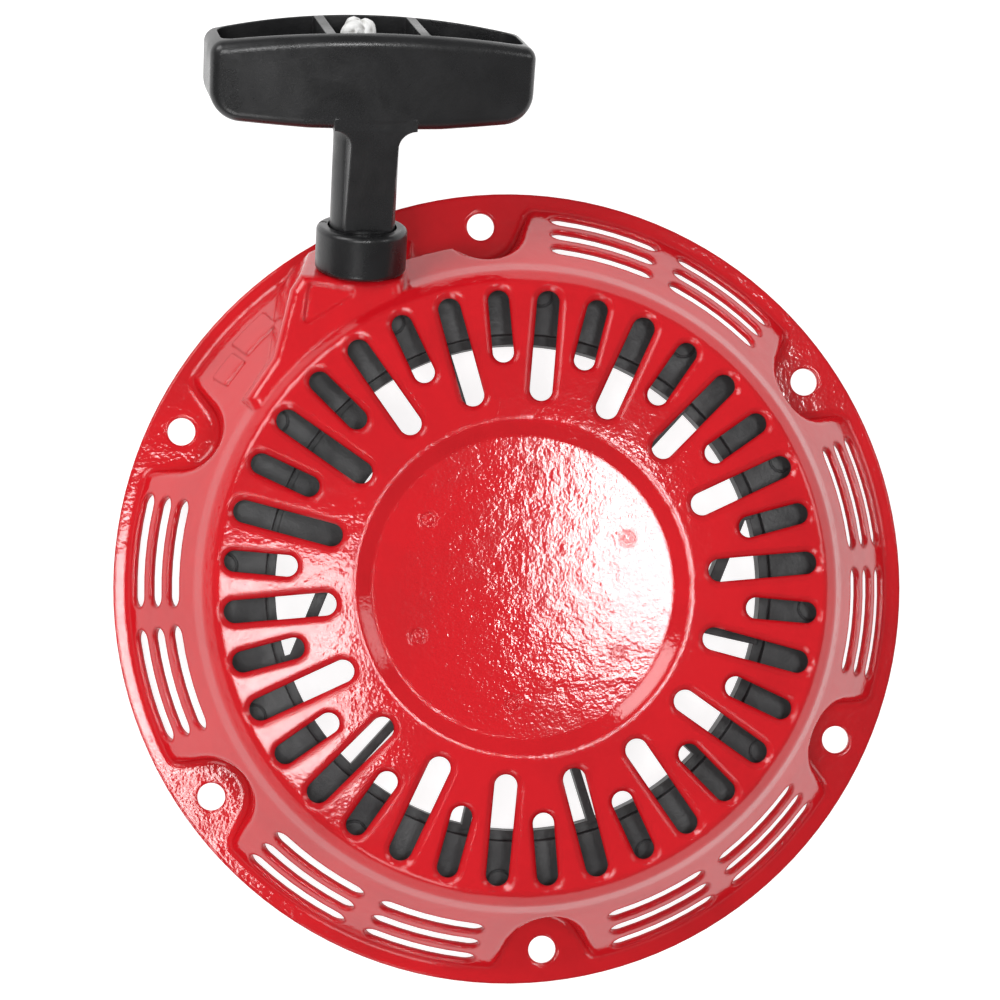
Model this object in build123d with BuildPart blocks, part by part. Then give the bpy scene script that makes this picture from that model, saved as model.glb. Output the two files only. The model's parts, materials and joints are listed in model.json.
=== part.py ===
from build123d import *
import math
import os

os.makedirs("parts", exist_ok=True)

# Recoil starter for a small engine, in millimetres.
# The origin is the centre of the bolt circle on the flange's mounting face, +Z points out through the
# domed face, and +Y points towards the side that the rope leaves by.

# ---- Driving sizes -----------------------------------------------------------------------------------

# Case: a bell pressed from sheet, with a flat bolt flange
SHEET = 1.6
FLANGE_R = 107.75
BOLT_CIRCLE_R = 99.0
BOLT_COUNT = 6
BOLT_FIRST_ANGLE = 35.0
BOLT_HOLE_R = 3.75
WALL_FOOT_R = 103.8
WALL_TOP_R = 85.0
WALL_TOP_Z = 31.0
SHOULDER_R = 82.6
SHOULDER_Z = 36.0
FACE_R = 79.2
FACE_Z = 39.4
DISC_RIM_R = 43.3
DISC_RIM_Z = 42.0
DISC_R = 39.1
DISC_Z = 40.0
WALL_SLOPE = (WALL_FOOT_R - WALL_TOP_R) / (WALL_TOP_Z - SHEET)

# Pockets scooped out of the wall round the bolt holes
POCKET_R = 10.4
POCKET_MOUTH_X = 14.0
POCKET_MOUTH_HALF = 19.0
POCKET_DRAFT = 4.0
POCKET_RIM_ROUND = 2.5
POCKET_FLOOR_ROUND = 2.0

# Cooling slots in the face, alternately long and short, each with a lip pressed inwards
SLOT_PITCH = 20.0
SLOT_OUTER_R = 77.4
LONG_SLOT = {"first": 5.0, "inner_r": 48.4, "width": 5.9, "lip": 1.6}
SHORT_SLOT = {"first": 15.0, "inner_r": 58.4, "width": 5.5, "lip": 1.3}
LIP_DEPTH = 1.2

# Cooling slots in the wall: three rows in two groups, between each pair of bolt pockets but one
WALL_SLOT_ROWS = (6.4, 14.2, 22.0)
WALL_SLOT_SECTORS = (5.0, 65.0, 185.0, 245.0, 305.0)
WALL_SLOT_GROUP = 10.5
WALL_SLOT_HALF_ANGLE = 7.0
WALL_SLOT_WIDTH = 6.4

# Spot welds that hold the hub plate behind the disc
WELD_COUNT = 6
WELD_CIRCLE_R = 30.0
WELD_FIRST_ANGLE = 25.0
WELD_R = 2.0
WELD_INNER_R = 1.2
WELD_DEPTH = 0.25

# The rope's way out: the guide's middle, and the way that the grip pulls
GUIDE_MIDDLE = Vector(-42.0, 88.6, 31.0)
PULL_TILT = 24.0
PULL_YAW = 2.0
GUIDE_R = 11.9
GUIDE_HALF = 6.0
GUIDE_NECK_R = 6.5
FAIRING_TOP_Z = 36.5
FAIRING_DRAFT = 8.0
FAIRING_FOOT_R = 105.0
FAIRING_ROUND = 3.0
FIT_GAP = 0.1

# Marks pressed into the fairing's top and out of the cone beside it
RECESS_CORNERS = ((-55.9, 79.0), (-41.6, 76.9), (-57.5, 66.7))
RECESS_DEPTH = 0.8
RECESS_DRAFT = 40.0
RECESS_ROUND = 1.2
WALL_PANELS = ((132.5, 139.5, 7.0, 17.0), (140.5, 145.5, 10.0, 18.0))
PANEL_STAND = 0.7

# Rope
ROPE_R = 2.0
ROPE_Z = 25.5
COIL_TURN_R = (71.1, 75.1, 79.1)

# Post, plate and bearing in the middle of the case
POST_R = 10.0
POST_END_Z = 11.5
RUNNING_GAP = 0.06
HUB_PLATE_R = 37.0
HUB_PLATE_T = 2.0

# Reel
REEL_FLANGE_R = 81.4
GROOVE_R = 69.0
RIM_STEP_R = 66.5
WINDOW_R = 64.0
DRUM_R = 43.5
DRUM_WALL = 2.0
DRUM_FLOOR_Z = 22.0
DRUM_TOP_Z = 34.2
WEB_T = 2.0
SPOKE_COUNT = 12
SPOKE_FIRST_ANGLE = 17.5
SPOKE_T = 2.2
PAWL_PIN_CIRCLE_R = 24.0
PAWL_PIN_R = 3.0
PAWL_THROW = 30.0

# Grip
GRIP_WIDTH = 83.0
GRIP_DEPTH = 28.0
GRIP_END_DEPTH = 19.0
GRIP_FOOT = 34.5
GRIP_TOP = 55.0
POST_SPIGOT_R = 8.0
POST_COLLAR_R = 13.0
POST_COLLAR_T = 1.0
SCREW_R = 3.0
SCREW_DEPTH = 14.0
SCREW_SHOULDER_R = 5.0
SCREW_HEAD_R = 8.0
SCREW_HEAD_Z = 0.6
SCREW_HEAD_T = 2.7
WASHER_R = 14.0
WASHER_Z = 10.0
SPRING_SLIT = 1.4
SPRING_HOOK = 3.0
SPRING_T = 0.7
SPRING_TURNS = 8
SPRING_INNER_R = 11.4
SPRING_PITCH = 3.6
SPRING_END_GAP = 0.8
GUIDE_LIP_T = 1.4
GUIDE_LIP = 1.0
GUIDE_SEAT = -1.0
GUIDE_SEAT_R = 8.8
GUIDE_SEAT_DRAFT = 2.0
GUIDE_ROUND = 1.4
ROPE_HOLE_GAP = 0.6
LEAD_BEND = -13.5
LEAD_BEND_R = 9.0
LEAD_CLEAR = 26.4
GROOVE_HALF = 2.7
FLANGE_T = 2.2
RIM_STEP_Z = 27.0
COVER_T = 0.8
SPOKE_H = 6.5
BAR_T = 3.0
BLOCK_INNER_R = 49.0
BLOCK_FIRST = 130.0
BLOCK_SPAN = 38.0
KNOT_R = 57.5
KNOT_POCKET_R = 5.5
REEL_BOSS_R = 16.0
MARK_CIRCLE_R = 77.2
MARK_FIRST_ANGLE = 26.0
MARK_R = 3.4
PAWL_BOSS_R = 7.0
PAWL_SPRING_R = 4.4
PAWL_WIRE_R = 0.45
PAWL_SPRING_POCKET = 1.5
PAWL_LOW_Z = 6.6
PAWL_T = 5.0
PEG_R = 1.5
GUIDE_PLATE_R = 24.5
GUIDE_PLATE_Z = 3.6
GUIDE_PLATE_T = 2.2
GUIDE_HUB_R = 9.0
GUIDE_HUB_H = 6.1
FRICTION_WIRE_R = 0.5
GRIP_ROLL = 9.0
GRIP_ARCH = 3.8
GRIP_RISE = 1.2
GRIP_CORNER = 8.0
GRIP_TOP_CORNER = 3.5
GRIP_ROUND = 3.0
GRIP_WALL = 2.8
GRIP_POCKET = 40.0
GRIP_POCKET_CORNER = 4.0
STEM_FILLET = 4.5
WEB_HALF_WIDTH = 6.1
WEB_FLARE = 4.5
WEB_START = 7.0
WEB_START_DEPTH = 8.6
WEB_DEPTH = 13.8
ROPE_PASSAGE_GAP = 0.4
PLATE_GAP = 0.5
NOTCH_WIDTH = 0.9
NOTCH_DEPTH = 1.8
NOTCH_ANGLE = 10.0
RIB_X = 12.0
RIB_T = 2.4
PLATE_T = 1.5
KNOT_FOOT = 51.0
KNOT_ASIDE = 3.5
KNOT_HALF = 5.0
KNOT_H = 9.5
STEM_R = 8.5

FACE_ARC_R = (FACE_R**2 - DISC_RIM_R**2) / (2 * (DISC_RIM_Z - FACE_Z))
PULL = Vector(
    math.sin(math.radians(PULL_YAW)) * math.cos(math.radians(PULL_TILT)),
    math.cos(math.radians(PULL_YAW)) * math.cos(math.radians(PULL_TILT)),
    math.sin(math.radians(PULL_TILT)),
)
ACROSS = Vector(math.cos(math.radians(PULL_YAW)), -math.sin(math.radians(PULL_YAW)), 0)


def pull_plane(distance):
    """The plane square to the pull, a distance along it from the guide's middle; X runs across."""
    return Plane(origin=GUIDE_MIDDLE + PULL * distance, x_dir=ACROSS, z_dir=PULL)


def wall_radius(height):
    """The outside radius of the case's cone at a height."""
    return WALL_FOOT_R - (height - SHEET) * WALL_SLOPE


def face_height(radius):
    """The height of the crowned face at a radius."""
    return FACE_Z + (FACE_R**2 - radius**2) / (2 * FACE_ARC_R)


def turned(angle):
    """A turn about the Z axis."""
    return Location((0, 0, 0), (0, 0, angle))


def at(radius, angle):
    """A point in the plane by radius and angle."""
    return Vector(radius * math.cos(math.radians(angle)), radius * math.sin(math.radians(angle)))


def finish(builder, name):
    """Labels a piece and writes it."""
    builder.part.label = name
    export_step(builder.part, f"parts/{name}.step")


# ---- Case --------------------------------------------------------------------------------------------


def bell_section(inset):
    """Half of the bell's section, moved inwards by inset, with its rounded corners."""
    below = 20.0
    corners = (
        ((WALL_TOP_R, WALL_TOP_Z), 8.0),
        ((SHOULDER_R, SHOULDER_Z), 4.0),
        ((FACE_R, FACE_Z), 2.6),
        ((DISC_RIM_R, DISC_RIM_Z), 2.0),
    )
    with BuildSketch(Plane.XZ) as section:
        with BuildLine():
            Polyline(
                (0, DISC_Z),
                (0, -below),
                (wall_radius(-below), -below),
                (WALL_TOP_R, WALL_TOP_Z),
                (SHOULDER_R, SHOULDER_Z),
                (FACE_R, FACE_Z),
            )
            RadiusArc((FACE_R, FACE_Z), (DISC_RIM_R, DISC_RIM_Z), -FACE_ARC_R)
            Polyline((DISC_RIM_R, DISC_RIM_Z), (DISC_R, DISC_Z), (0, DISC_Z))
        make_face()
        for corner, radius in corners:
            fillet(section.vertices().sort_by_distance(corner)[0], radius)
        mirror(about=Plane.YZ)
        if inset:
            offset(amount=-inset, kind=Kind.INTERSECTION)
        with Locations((FLANGE_R / 2, DISC_RIM_Z / 2)):
            Rectangle(FLANGE_R, DISC_RIM_Z, mode=Mode.INTERSECT)
    return section.sketch


def pocket_plan(margin):
    """The plan of one bolt pocket: round behind the hole, flaring out to the flange's edge."""
    with BuildSketch() as plan:
        Circle(POCKET_R + margin)
        with Locations((POCKET_MOUTH_X, 0)):
            Rectangle(1, 2 * (POCKET_MOUTH_HALF + margin))
        make_hull(plan.edges())
    return plan.sketch


def low_plan(margin):
    """The plan of the low floor between the first bolt pocket past the top and the fairing."""
    first, span, inner, outer = 95.0, 14.0, 92.0 - margin, 120.0
    with BuildSketch() as plan:
        with BuildLine():
            CenterArc((0, 0), inner, first, span)
            CenterArc((0, 0), outer, first, span)
            for angle in (first, first + span):
                ray = Vector(math.cos(math.radians(angle)), math.sin(math.radians(angle)))
                Line(ray * inner, ray * outer)
        make_face()
    return plan.sketch


def fairing_plan():
    """The plan of the fairing's flat top, which starts against the bell's shoulder."""
    with BuildSketch(Plane.XY.offset(FAIRING_TOP_Z)) as plan:
        with BuildLine():
            Polyline(
                (-28.0, 40),
                (-33.0, 100),
                (-45.0, 100),
                (-60.0, 77.0),
                (-64.5, 59.0),
                (-71.5, 48.5),
                (-60.0, 30.0),
                (-28.0, 40),
            )
        make_face()
    return plan.sketch


def slot_plane(slot, angle):
    """The plane that touches the face over the middle of a slot, X pointing outwards."""
    middle = (SLOT_OUTER_R + slot["inner_r"]) / 2
    dip = math.degrees(math.asin(middle / FACE_ARC_R))
    tangent = Plane.XY.rotated((0, dip, 0))
    tangent.origin = Vector(middle, 0, face_height(middle))
    return Plane(turned(angle) * tangent.location)


def spot(edge):
    """The radius, angle and height of an edge's middle."""
    middle = edge.position_at(0.5)
    angle = math.degrees(math.atan2(middle.Y, middle.X)) % 360
    return math.hypot(middle.X, middle.Y), angle, middle.Z


def on_pocket_rim(edge):
    """Whether an edge is where a pocket's wall meets the cone."""
    radius, _, height = spot(edge)
    on_cone = abs(radius - wall_radius(height)) < 0.8 and height > SHEET + 1
    round_the_bell = edge.geom_type == GeomType.CIRCLE and not 15 < height < 25
    return on_cone and edge.geom_type != GeomType.LINE and not round_the_bell


def on_pocket_floor(edge):
    """Whether an edge is where the flange meets the bell, away from the fairing."""
    radius, angle, height = spot(edge)
    flat = abs(height - SHEET) < 0.02 and abs(edge.position_at(0.1).Z - SHEET) < 0.02
    return flat and radius < FLANGE_R - 0.5 and not 88 < angle < 150


with BuildPart() as pockets:
    with BuildSketch(Plane.XY.offset(SHEET)):
        with PolarLocations(BOLT_CIRCLE_R, BOLT_COUNT, BOLT_FIRST_ANGLE):
            add(pocket_plan(0))
    extrude(amount=DISC_RIM_Z, taper=-POCKET_DRAFT)
    with BuildSketch(Plane.XY.offset(SHEET)):
        add(low_plan(0))
    extrude(amount=DISC_RIM_Z)

with BuildPart() as pocket_cores:
    with BuildSketch():
        with PolarLocations(BOLT_CIRCLE_R, BOLT_COUNT, BOLT_FIRST_ANGLE):
            add(pocket_plan(SHEET))
    extrude(amount=DISC_RIM_Z, taper=-POCKET_DRAFT)
    with BuildSketch():
        add(low_plan(SHEET))
    extrude(amount=DISC_RIM_Z)

with BuildPart() as fairing:
    add(extrude(fairing_plan(), amount=FAIRING_TOP_Z, dir=(0, 0, -1), taper=-FAIRING_DRAFT))
    with BuildSketch():
        Circle(FAIRING_FOOT_R)
    extrude(amount=FAIRING_TOP_Z, mode=Mode.INTERSECT)
    with BuildSketch(pull_plane(-GUIDE_HALF)):
        Rectangle(300, 300)
    extrude(amount=100, mode=Mode.SUBTRACT)
    fillet(fairing.faces().sort_by(Axis.Z)[-1].edges(), FAIRING_ROUND)
    with BuildSketch(Plane.XY.offset(FAIRING_TOP_Z)) as recess:
        with BuildLine():
            Polyline(*RECESS_CORNERS, close=True)
        make_face()
        fillet(recess.vertices(), RECESS_ROUND)
    extrude(amount=-RECESS_DEPTH, taper=RECESS_DRAFT, mode=Mode.SUBTRACT)

with BuildPart() as fairing_core:
    add(
        extrude(
            offset(fairing_plan(), amount=-SHEET, kind=Kind.INTERSECTION).moved(Location((0, 0, -SHEET))),
            amount=FAIRING_TOP_Z,
            dir=(0, 0, -1),
            taper=-FAIRING_DRAFT,
        )
    )
    with BuildSketch():
        Circle(FAIRING_FOOT_R - SHEET)
    extrude(amount=FAIRING_TOP_Z, mode=Mode.INTERSECT)
    with BuildSketch(pull_plane(-GUIDE_HALF - SHEET)):
        Rectangle(300, 300)
    extrude(amount=100, mode=Mode.SUBTRACT)

with BuildPart() as lip_outsides:
    for slot in (LONG_SLOT, SHORT_SLOT):
        length = SLOT_OUTER_R - slot["inner_r"] + 2 * slot["lip"]
        for angle in range(int(slot["first"]), 360, int(SLOT_PITCH)):
            with BuildSketch(slot_plane(slot, angle)):
                SlotOverall(length, slot["width"] + 2 * slot["lip"])
            extrude(amount=-LIP_DEPTH, taper=math.degrees(math.atan(slot["lip"] / LIP_DEPTH)))

with BuildPart() as lip_insides:
    for slot in (LONG_SLOT, SHORT_SLOT):
        length = SLOT_OUTER_R - slot["inner_r"] + 2 * SHEET
        for angle in range(int(slot["first"]), 360, int(SLOT_PITCH)):
            with BuildSketch(slot_plane(slot, angle)):
                SlotOverall(length, slot["width"] + 2 * SHEET)
            extrude(amount=-LIP_DEPTH - SHEET)

with BuildPart() as face_slots:
    for slot in (LONG_SLOT, SHORT_SLOT):
        for angle in range(int(slot["first"]), 360, int(SLOT_PITCH)):
            with BuildSketch(slot_plane(slot, angle)):
                SlotOverall(SLOT_OUTER_R - slot["inner_r"], slot["width"])
            extrude(amount=4 * SHEET, both=True)

with BuildPart() as weld_marks:
    with BuildSketch(Plane.XY.offset(DISC_Z)):
        with PolarLocations(WELD_CIRCLE_R, WELD_COUNT, WELD_FIRST_ANGLE):
            Circle(WELD_R)
            Circle(WELD_INNER_R, mode=Mode.SUBTRACT)
    extrude(amount=-WELD_DEPTH)

with BuildPart() as wall_panels:
    for first, last, low, high in WALL_PANELS:
        middle = (low + high) / 2
        with BuildSketch(Plane(turned(first) * Plane.XZ.location)):
            with Locations((wall_radius(middle), middle)):
                Rectangle(2 * PANEL_STAND, high - low, rotation=math.degrees(math.atan(WALL_SLOPE)))
        revolve(axis=Axis.Z, revolution_arc=last - first)
    fillet(wall_panels.edges(), PANEL_STAND / 2)

with BuildPart() as wall_slots:
    half = WALL_SLOT_HALF_ANGLE
    lean = math.degrees(math.atan(WALL_SLOPE))
    for height in WALL_SLOT_ROWS:
        radius = wall_radius(height)
        for sector in WALL_SLOT_SECTORS:
            for side in (-WALL_SLOT_GROUP, WALL_SLOT_GROUP):
                middle = sector + side
                with BuildSketch(Plane(turned(middle - half) * Plane.XZ.location)):
                    with Locations((radius, height)):
                        Rectangle(4 * SHEET, WALL_SLOT_WIDTH, rotation=lean)
                revolve(axis=Axis.Z, revolution_arc=2 * half)
                for end in (-half, half):
                    out = Plane((turned(middle + end) * Location((radius, 0, height), (0, 90 - lean, 0))))
                    with BuildSketch(out):
                        Circle(WALL_SLOT_WIDTH / 2)
                    extrude(amount=2 * SHEET, both=True)

with BuildPart() as case_outside:
    revolve(bell_section(0), axis=Axis.Z)
    add(pockets.part, mode=Mode.SUBTRACT)
    fillet(case_outside.edges().filter_by(on_pocket_rim), POCKET_RIM_ROUND)
    add(fairing.part)
    with BuildSketch():
        Circle(FLANGE_R)
    extrude(amount=SHEET)
    fillet(case_outside.edges().filter_by(on_pocket_floor), POCKET_FLOOR_ROUND)
    add(lip_outsides.part, mode=Mode.SUBTRACT)
    add(wall_panels.part)

with BuildPart() as case_inside:
    revolve(bell_section(SHEET), axis=Axis.Z)
    add(pocket_cores.part, mode=Mode.SUBTRACT)
    add(fairing_core.part)
    add(lip_insides.part, mode=Mode.SUBTRACT)

with BuildPart() as starter_case:
    add(case_outside.part)
    for cutter in (case_inside, face_slots, wall_slots, weld_marks):
        add(cutter.part, mode=Mode.SUBTRACT)
    with BuildSketch():
        with PolarLocations(BOLT_CIRCLE_R, BOLT_COUNT, BOLT_FIRST_ANGLE):
            Circle(BOLT_HOLE_R)
    extrude(amount=SHEET, mode=Mode.SUBTRACT)
    with BuildSketch(pull_plane(-GUIDE_HALF - 4 * SHEET)):
        Circle(GUIDE_NECK_R + FIT_GAP)
    extrude(amount=6 * SHEET, mode=Mode.SUBTRACT)
finish(starter_case, "starter_case")


# ---- Middle of the case: hub plate, post, guide ------------------------------------------------------

disc_inside_z = DISC_Z - SHEET
plate_z = disc_inside_z - HUB_PLATE_T

with BuildPart() as hub_plate:
    with BuildSketch(Plane.XY.offset(plate_z)):
        Circle(HUB_PLATE_R)
        Circle(POST_SPIGOT_R, mode=Mode.SUBTRACT)
    extrude(amount=HUB_PLATE_T)
    fillet(hub_plate.edges().filter_by(GeomType.CIRCLE).group_by(Axis.Z)[0].sort_by(SortBy.RADIUS)[-1], 0.8)
finish(hub_plate, "hub_plate")

with BuildPart() as center_post:
    with BuildSketch(Plane.XY.offset(POST_END_Z)):
        Circle(POST_R)
    extrude(amount=plate_z - POST_END_Z)
    with BuildSketch(Plane.XY.offset(plate_z - POST_COLLAR_T)):
        Circle(POST_COLLAR_R)
    extrude(amount=POST_COLLAR_T)
    with BuildSketch(Plane.XY.offset(plate_z)):
        Circle(POST_SPIGOT_R)
    extrude(amount=HUB_PLATE_T)
    # slit that the spring's inner end hooks into
    with BuildSketch(Plane.XY.offset(DRUM_FLOOR_Z + WEB_T)):
        with Locations((POST_R, 0)):
            Rectangle(2 * SPRING_HOOK, SPRING_SLIT)
    extrude(amount=DRUM_TOP_Z - DRUM_FLOOR_Z - WEB_T, mode=Mode.SUBTRACT)
    # tapped hole for the setting screw
    with BuildSketch(Plane.XY.offset(POST_END_Z)):
        Circle(SCREW_R)
    extrude(amount=SCREW_DEPTH + 1.0, mode=Mode.SUBTRACT)
finish(center_post, "center_post")

with BuildPart() as rope_guide:
    with BuildSketch(pull_plane(-GUIDE_HALF)):
        Circle(GUIDE_R)
    extrude(amount=2 * GUIDE_HALF)
    fillet(rope_guide.edges().filter_by(GeomType.CIRCLE), GUIDE_ROUND)
    with BuildSketch(pull_plane(-GUIDE_HALF - SHEET - GUIDE_LIP_T)):
        Circle(GUIDE_NECK_R)
    extrude(amount=SHEET + GUIDE_LIP_T + 1.0)
    with BuildSketch(pull_plane(-GUIDE_HALF - SHEET - GUIDE_LIP_T)):
        Circle(GUIDE_NECK_R + GUIDE_LIP)
    extrude(amount=GUIDE_LIP_T - FIT_GAP)
    # seat that the grip's stem parks in
    with BuildSketch(pull_plane(GUIDE_SEAT)):
        Circle(GUIDE_SEAT_R)
    extrude(amount=2 * GUIDE_HALF, taper=-GUIDE_SEAT_DRAFT, mode=Mode.SUBTRACT)
    # rope hole, flared at the inner mouth
    with BuildSketch(pull_plane(-2 * GUIDE_HALF)):
        Circle(ROPE_R + ROPE_HOLE_GAP)
    extrude(amount=3 * GUIDE_HALF, mode=Mode.SUBTRACT)
    with BuildSketch(pull_plane(-GUIDE_HALF - SHEET - GUIDE_LIP_T)):
        Circle(GUIDE_NECK_R - 1.2)
    extrude(amount=3.4, taper=35, mode=Mode.SUBTRACT)
    # slit in the rim
    notch = at(GUIDE_R, 180 - NOTCH_ANGLE)
    with BuildSketch(pull_plane(GUIDE_HALF)):
        with Locations(notch):
            Rectangle(GUIDE_R - GUIDE_SEAT_R + 2, NOTCH_WIDTH, rotation=-NOTCH_ANGLE)
    extrude(amount=-NOTCH_DEPTH, mode=Mode.SUBTRACT)
finish(rope_guide, "rope_guide")

# ---- Reel --------------------------------------------------------------------------------------------


def bar_plan(start, end, width):
    """A straight bar seen from above, from one point to another."""
    with BuildSketch() as plan:
        with BuildLine():
            Line(start, end)
        trace(line_width=width)
    return plan.sketch


groove_low = ROPE_Z - GROOVE_HALF
groove_high = ROPE_Z + GROOVE_HALF

with BuildPart() as reel:
    # bearing boss
    with BuildSketch(Plane.XY.offset(POST_END_Z + 0.5)):
        Circle(REEL_BOSS_R)
    extrude(amount=DRUM_FLOOR_Z + WEB_T - POST_END_Z - 0.5)
    # drum for the spring
    with BuildSketch(Plane.XY.offset(DRUM_FLOOR_Z)):
        Circle(DRUM_R)
    extrude(amount=WEB_T)
    with BuildSketch(Plane.XY.offset(DRUM_FLOOR_Z)):
        Circle(DRUM_R)
        Circle(DRUM_R - DRUM_WALL, mode=Mode.SUBTRACT)
    extrude(amount=DRUM_TOP_Z - DRUM_FLOOR_Z)
    # rim: stepped ring with the rope's groove round it
    with BuildSketch(Plane.XY.offset(groove_low - FLANGE_T)):
        Circle(RIM_STEP_R)
        Circle(WINDOW_R, mode=Mode.SUBTRACT)
    extrude(amount=RIM_STEP_Z - groove_low + FLANGE_T)
    with BuildSketch(Plane.XY.offset(groove_low - FLANGE_T)):
        Circle(GROOVE_R)
        Circle(RIM_STEP_R, mode=Mode.SUBTRACT)
    extrude(amount=2 * (GROOVE_HALF + FLANGE_T))
    for low in (groove_low - FLANGE_T, groove_high):
        with BuildSketch(Plane.XY.offset(low)):
            Circle(REEL_FLANGE_R)
            Circle(RIM_STEP_R, mode=Mode.SUBTRACT)
        extrude(amount=FLANGE_T)
    # spokes and the two slanted bars
    with BuildSketch(Plane.XY.offset(groove_low - FLANGE_T)):
        for number in range(SPOKE_COUNT):
            angle = SPOKE_FIRST_ANGLE + number * 360 / SPOKE_COUNT
            add(bar_plan(at(DRUM_R - 1, angle), at(WINDOW_R + 1, angle), SPOKE_T))
        for half_turn in (0, 180):
            add(bar_plan(at(DRUM_R + 4, half_turn - 26), at(WINDOW_R + 1, half_turn + 21), BAR_T))
    extrude(amount=SPOKE_H)
    # block that holds the rope's inner end
    with BuildSketch(Plane.XY.offset(groove_low - FLANGE_T)):
        with BuildLine():
            inner = CenterArc((0, 0), BLOCK_INNER_R, BLOCK_FIRST, BLOCK_SPAN)
            outer = CenterArc((0, 0), WINDOW_R + 1, BLOCK_FIRST, BLOCK_SPAN)
            Line(inner @ 0, outer @ 0)
            Line(inner @ 1, outer @ 1)
        make_face()
    extrude(amount=SPOKE_H)
    with BuildSketch(Plane.XY.offset(groove_low - FLANGE_T)):
        with Locations(at(KNOT_R, BLOCK_FIRST + BLOCK_SPAN / 2)):
            Circle(KNOT_POCKET_R)
    extrude(amount=SPOKE_H - WEB_T, mode=Mode.SUBTRACT)
    # bosses and pins for the pawls, braced to the bearing boss
    for side in (0, 180):
        pin = at(PAWL_PIN_CIRCLE_R, side)
        with BuildSketch(Plane.XY.offset(POST_END_Z + 0.5)):
            add(bar_plan(at(REEL_BOSS_R - 2, side), pin, 5.0))
            with Locations(pin):
                Circle(PAWL_BOSS_R)
        extrude(amount=DRUM_FLOOR_Z - POST_END_Z)
        with BuildSketch(Plane.XY.offset(POST_END_Z + 0.5)):
            with Locations(pin):
                Circle(PAWL_SPRING_R + 1.0)
                Circle(PAWL_PIN_R, mode=Mode.SUBTRACT)
        extrude(amount=PAWL_SPRING_POCKET, mode=Mode.SUBTRACT)
        with BuildSketch(Plane.XY.offset(PAWL_LOW_Z - 0.6)):
            with Locations(pin):
                Circle(PAWL_PIN_R)
        extrude(amount=DRUM_FLOOR_Z - PAWL_LOW_Z)
    # bearing hole
    with BuildSketch(Plane.XY):
        Circle(POST_R + RUNNING_GAP)
    extrude(amount=DRUM_TOP_Z, mode=Mode.SUBTRACT)
    # round ejector marks on the front flange
    with BuildSketch(Plane.XY.offset(groove_high + FLANGE_T)):
        with PolarLocations(MARK_CIRCLE_R, 12, MARK_FIRST_ANGLE):
            Circle(MARK_R)
            Circle(MARK_R - 0.5, mode=Mode.SUBTRACT)
    extrude(amount=-0.3, mode=Mode.SUBTRACT)
    # hole that the rope's inner end comes in by
    end = BLOCK_FIRST + BLOCK_SPAN / 2
    with BuildSketch(Plane(origin=at(KNOT_R, end) + Vector(0, 0, ROPE_Z - 1.0), z_dir=at(1, end))):
        Circle(ROPE_R + 0.3)
    extrude(amount=GROOVE_R - KNOT_R + 1, mode=Mode.SUBTRACT)
finish(reel, "reel")

with BuildPart() as spring_cover:
    with BuildSketch(Plane.XY.offset(DRUM_TOP_Z)):
        Circle(DRUM_R)
        Circle(POST_R + 1.0, mode=Mode.SUBTRACT)
    extrude(amount=COVER_T)
finish(spring_cover, "spring_cover")

with BuildPart() as recoil_spring:
    with BuildSketch(Plane.XY.offset(DRUM_FLOOR_Z + WEB_T + SPRING_END_GAP)):
        with BuildLine():
            edges = []
            for side in (-SPRING_T / 2, SPRING_T / 2):
                for number in range(2 * SPRING_TURNS):
                    center = (SPRING_PITCH / 2, 0) if number % 2 else (0, 0)
                    radius = SPRING_INNER_R + number * SPRING_PITCH / 2 + side
                    edges.append(CenterArc(center, radius, 180 * (number % 2), 180))
            Line(edges[0] @ 0, edges[2 * SPRING_TURNS] @ 0)
            Line(edges[2 * SPRING_TURNS - 1] @ 1, edges[-1] @ 1)
        make_face()
        with Locations((SPRING_INNER_R - SPRING_HOOK / 2, 0)):
            Rectangle(SPRING_HOOK, SPRING_T)
    extrude(amount=DRUM_TOP_Z - DRUM_FLOOR_Z - WEB_T - 2 * SPRING_END_GAP)
finish(recoil_spring, "recoil_spring")

# ---- Pawls and what throws them out ------------------------------------------------------------------

PAWL_PIN = Vector(PAWL_PIN_CIRCLE_R, 0)
PEG_FROM_PIN = Vector(-7.0, -3.0)


def pawl_plan():
    """A pawl at rest, seen from above: a hub, an arm with its tooth, and a tail for the peg."""
    with BuildSketch() as plan:
        for offset_point, radius in ((Vector(-2.0, -15.5), 2.2), (PEG_FROM_PIN, 2.5)):
            with BuildSketch(mode=Mode.PRIVATE) as limb:
                with Locations(PAWL_PIN):
                    Circle(5.2)
                with Locations(PAWL_PIN + offset_point):
                    Circle(radius)
                make_hull(limb.edges())
            add(limb.sketch)
        with BuildLine():
            Polyline((23.6, -11.0), (27.6, -17.2), (20.8, -17.6), (23.6, -11.0))
        make_face()
        with Locations(PAWL_PIN):
            Circle(PAWL_PIN_R + RUNNING_GAP, mode=Mode.SUBTRACT)
    return plan.sketch


def peg_in_guide(turn):
    """The peg's place in the ratchet guide's frame, once the guide and the pawl have both turned."""
    swung = PAWL_PIN + PEG_FROM_PIN.rotate(Axis.Z, turn)
    return swung.rotate(Axis.Z, -turn)


for name, side in (("pawl_a", 0), ("pawl_b", 180)):
    with BuildPart() as pawl:
        with BuildSketch(Plane.XY.offset(PAWL_LOW_Z)):
            add(pawl_plan(), rotation=side)
        extrude(amount=PAWL_T)
        with BuildSketch(Plane.XY.offset(GUIDE_PLATE_Z + 0.3)):
            with Locations((PAWL_PIN + PEG_FROM_PIN).rotate(Axis.Z, side)):
                Circle(PEG_R)
        extrude(amount=PAWL_LOW_Z - GUIDE_PLATE_Z)
    finish(pawl, name)

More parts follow.
